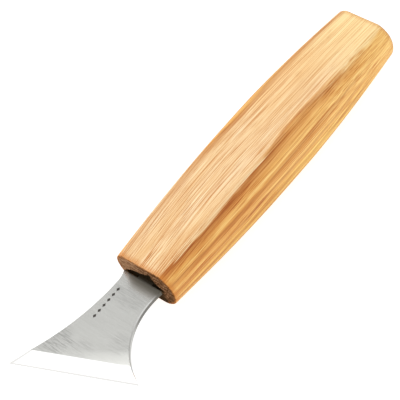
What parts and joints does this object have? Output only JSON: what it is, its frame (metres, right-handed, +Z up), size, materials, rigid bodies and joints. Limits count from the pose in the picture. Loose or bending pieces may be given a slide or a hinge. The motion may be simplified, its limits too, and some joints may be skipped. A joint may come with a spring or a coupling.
{
  "type": "whittling knife",
  "caption": "Palm-sized fixed-blade carving knife: flat steel blade that widens to a skewed straight edge, glued by its tang into a barrel-shaped wooden handle.",
  "frame": {"origin": "middle of the flat sanded on the crown of the handle's lower broad face, at the handle's mid-length", "axes": "+X along the handle from the butt towards the blade, +Z up, square to the handle's broad faces"},
  "size_m": [0.1682, 0.0454, 0.0238],
  "materials": {
    "ash_wood": "sanded and oiled, satin",
    "blade_steel": "satin, ground across, with a polished bevel",
    "epoxy": "matte, cured and ragged"
  },
  "bodies": {
    "root": {"blade": "blade_steel", "handle": "ash_wood", "tang_adhesive": "epoxy"}
  },
  "joints": []
}
